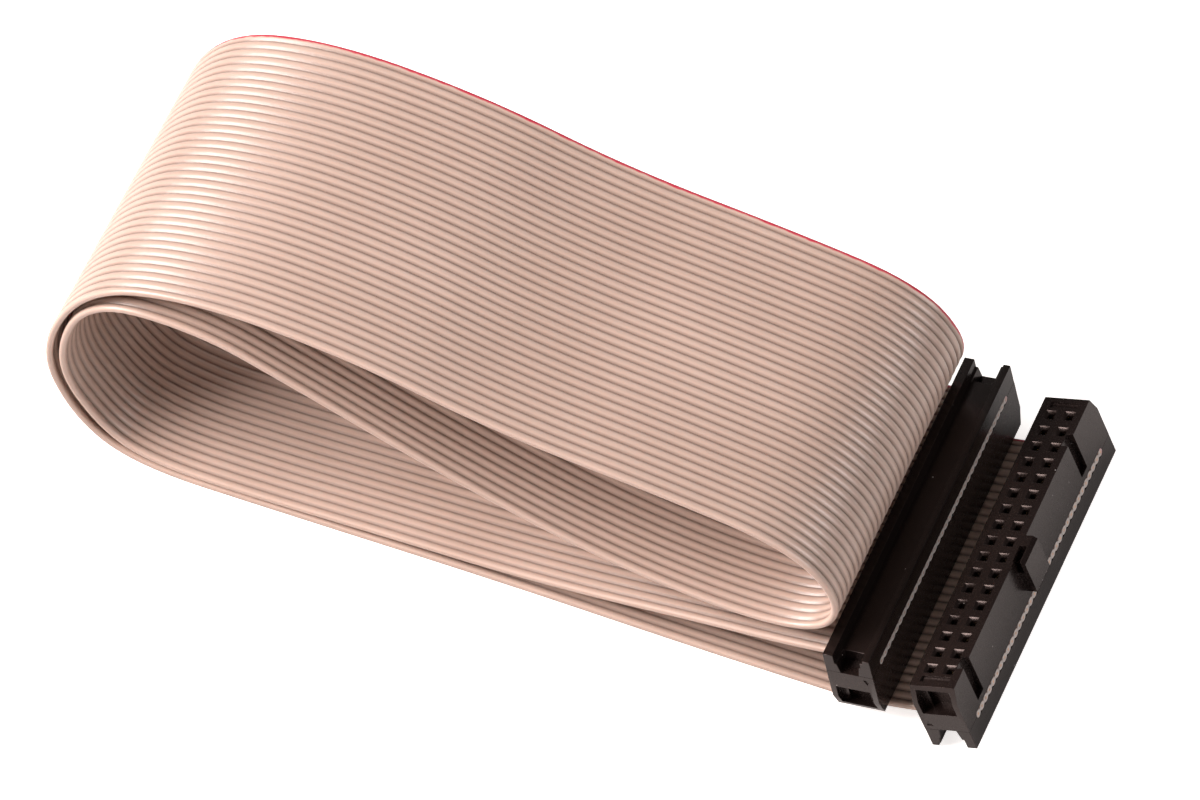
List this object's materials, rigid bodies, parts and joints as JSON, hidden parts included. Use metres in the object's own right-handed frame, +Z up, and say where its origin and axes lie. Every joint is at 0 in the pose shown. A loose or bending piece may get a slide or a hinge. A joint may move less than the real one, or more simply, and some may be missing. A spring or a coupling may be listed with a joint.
{
  "type": "ribbon cable",
  "caption": "Flat grey ribbon cable with a red edge wire, folded over itself in layers, with a black rectangular socket clamped on each end.",
  "frame": {"origin": "middle of the footprint on the surface that the folded cable lies on", "axes": "+X along the layers, towards the end where both sockets are; +Y across the cable, towards the red edge; +Z up"},
  "size_m": [0.1217, 0.0478, 0.0371],
  "materials": {
    "insulation": "satin grey PVC with one red edge",
    "copper": "drawn copper",
    "socket_plastic": "satin black moulding",
    "cover_plastic": "satin black moulding",
    "contact_metal": "plated spring metal"
  },
  "bodies": {
    "root": {"ribbon_insulation": "insulation", "conductor_01": "copper", "conductor_02": "copper", "conductor_03": "copper", "conductor_04": "copper", "conductor_05": "copper", "conductor_06": "copper", "conductor_07": "copper", "conductor_08": "copper", "conductor_09": "copper", "conductor_10": "copper", "conductor_11": "copper", "conductor_12": "copper", "conductor_13": "copper", "conductor_14": "copper", "conductor_15": "copper", "conductor_16": "copper", "conductor_17": "copper", "conductor_18": "copper", "conductor_19": "copper", "conductor_20": "copper", "conductor_21": "copper", "conductor_22": "copper", "conductor_23": "copper", "conductor_24": "copper", "conductor_25": "copper", "conductor_26": "copper", "conductor_27": "copper", "conductor_28": "copper", "conductor_29": "copper", "conductor_30": "copper", "conductor_31": "copper", "conductor_32": "copper", "conductor_33": "copper", "conductor_34": "copper", "socket_a_body": "socket_plastic", "socket_a_cover": "cover_plastic", "socket_a_contacts_odd": "contact_metal", "socket_a_contacts_even": "contact_metal", "socket_b_body": "socket_plastic", "socket_b_cover": "cover_plastic", "socket_b_contacts_odd": "contact_metal", "socket_b_contacts_even": "contact_metal"}
  },
  "joints": []
}
